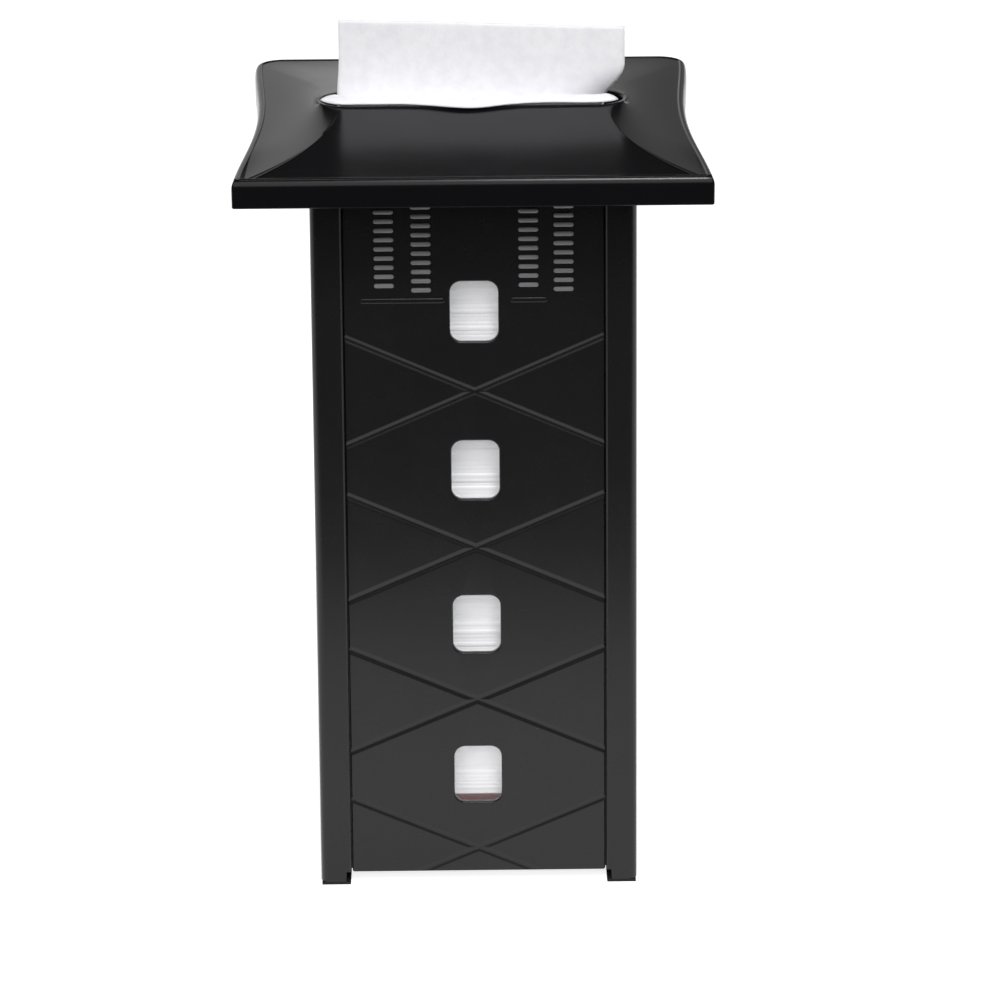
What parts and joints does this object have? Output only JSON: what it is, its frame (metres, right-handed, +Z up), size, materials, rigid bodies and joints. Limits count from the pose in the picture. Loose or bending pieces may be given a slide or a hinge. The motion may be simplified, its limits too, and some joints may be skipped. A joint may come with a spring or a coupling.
{
  "type": "napkin dispenser",
  "caption": "Tall countertop tower that feeds folded napkins up through a slot in a wide hinged head, with viewing windows down its front.",
  "frame": {"origin": "on the floor under the middle of the head, which is also the middle of the case", "axes": "+Z up; the windowed front faces -Y; +X is to the right as seen from the front"},
  "size_m": [0.257, 0.292, 0.4865],
  "materials": {
    "case_plastic": "satin black moulded plastic, fine grain",
    "head_plastic": "satin black moulded plastic, slightly glossier",
    "inner_plastic": "plain black moulded plastic",
    "lens_plastic": "clear polished plastic",
    "foot_rubber": "matte",
    "screw_steel": "zinc plated",
    "napkin_paper": "soft white tissue, fine emboss",
    "spring_steel": "rolled spring strip",
    "flag_red": "dark red moulded plastic",
    "bushing_nylon": "natural nylon",
    "ballast_iron": "plain grey iron",
    "lock_chrome": "bright plated",
    "rod_steel": "ground bright steel",
    "bracket_steel": "zinc plated sheet steel"
  },
  "bodies": {
    "case": {"ballast_plate": "ballast_iron", "base_screw_front_left": "screw_steel", "base_screw_front_right": "screw_steel", "base_screw_rear_left": "screw_steel", "base_screw_rear_right": "screw_steel", "base_tray": "case_plastic", "foot_pad_front_left": "foot_rubber", "foot_pad_front_right": "foot_rubber", "foot_pad_rear_left": "foot_rubber", "foot_pad_rear_right": "foot_rubber", "front_crossbar": "bracket_steel", "front_panel": "case_plastic", "hinge_case_leaf": "bracket_steel", "hinge_pin": "rod_steel", "left_guide_rod": "rod_steel", "left_reel_axle": "rod_steel", "left_reel_bracket": "bracket_steel", "left_side_frame": "case_plastic", "left_spring_tape": "spring_steel", "lock_striker": "bracket_steel", "napkin_stack": "napkin_paper", "rear_deck": "bracket_steel", "rear_panel": "case_plastic", "rear_screw_lower_left": "screw_steel", "rear_screw_lower_right": "screw_steel", "rear_screw_upper_left": "screw_steel", "rear_screw_upper_right": "screw_steel", "right_guide_rod": "rod_steel", "right_reel_axle": "rod_steel", "right_reel_bracket": "bracket_steel", "right_side_frame": "case_plastic", "right_spring_tape": "spring_steel", "window_lens_1": "lens_plastic", "window_lens_2": "lens_plastic", "window_lens_3": "lens_plastic", "window_lens_4": "lens_plastic"},
    "lift": {"lift_platform": "inner_plastic", "lift_carriage": "bracket_steel", "level_flag": "flag_red", "left_bushing": "bushing_nylon", "right_bushing": "bushing_nylon"},
    "left_reel": {"left_spring_reel": "spring_steel"},
    "right_reel": {"right_spring_reel": "spring_steel"},
    "head": {"head_cap": "head_plastic", "head_liner": "inner_plastic", "throat_plate": "inner_plastic", "hinge_head_leaf": "bracket_steel", "lock_barrel": "lock_chrome", "next_napkin": "napkin_paper", "head_screw_front_left": "screw_steel", "head_screw_front_right": "screw_steel", "head_screw_rear_left": "screw_steel", "head_screw_rear_right": "screw_steel"},
    "lock": {"lock_plug": "lock_chrome", "lock_cam": "lock_chrome"},
    "top_sheet": {"top_napkin": "napkin_paper"}
  },
  "joints": [
    {"name": "head_hinge", "type": "hinge", "parent": "case", "child": "head", "pos_m": [0, 0.113, 0.404], "axis": [-1, 0, 0], "range_deg": [0, 100]},
    {"name": "lock_turn", "type": "hinge", "parent": "head", "child": "lock", "pos_m": [0, -0.125, 0.415], "axis": [0, 0, 1], "range_deg": [0, 90]},
    {"name": "napkin_pull", "type": "slide", "parent": "head", "child": "top_sheet", "axis": [0, 0, 1], "range_m": [0, 0.12]},
    {"name": "platform_lift", "type": "slide", "parent": "case", "child": "lift", "axis": [0, 0, 1], "range_m": [0, 0.35], "deforming": ["napkin_stack", "left_spring_tape", "right_spring_tape"]},
    {"name": "left_reel_spin", "type": "hinge", "parent": "case", "child": "left_reel", "pos_m": [-0.026, 0.0618, 0.38], "axis": [-1, 0, 0], "range_deg": [0, 1058]},
    {"name": "right_reel_spin", "type": "hinge", "parent": "case", "child": "right_reel", "pos_m": [0.026, 0.0618, 0.38], "axis": [-1, 0, 0], "range_deg": [0, 1058]}
  ],
  "couplings": [
    {"joint": "left_reel_spin", "follows": "platform_lift", "rad_per_m": 52.632},
    {"joint": "right_reel_spin", "follows": "platform_lift", "rad_per_m": 52.632}
  ]
}
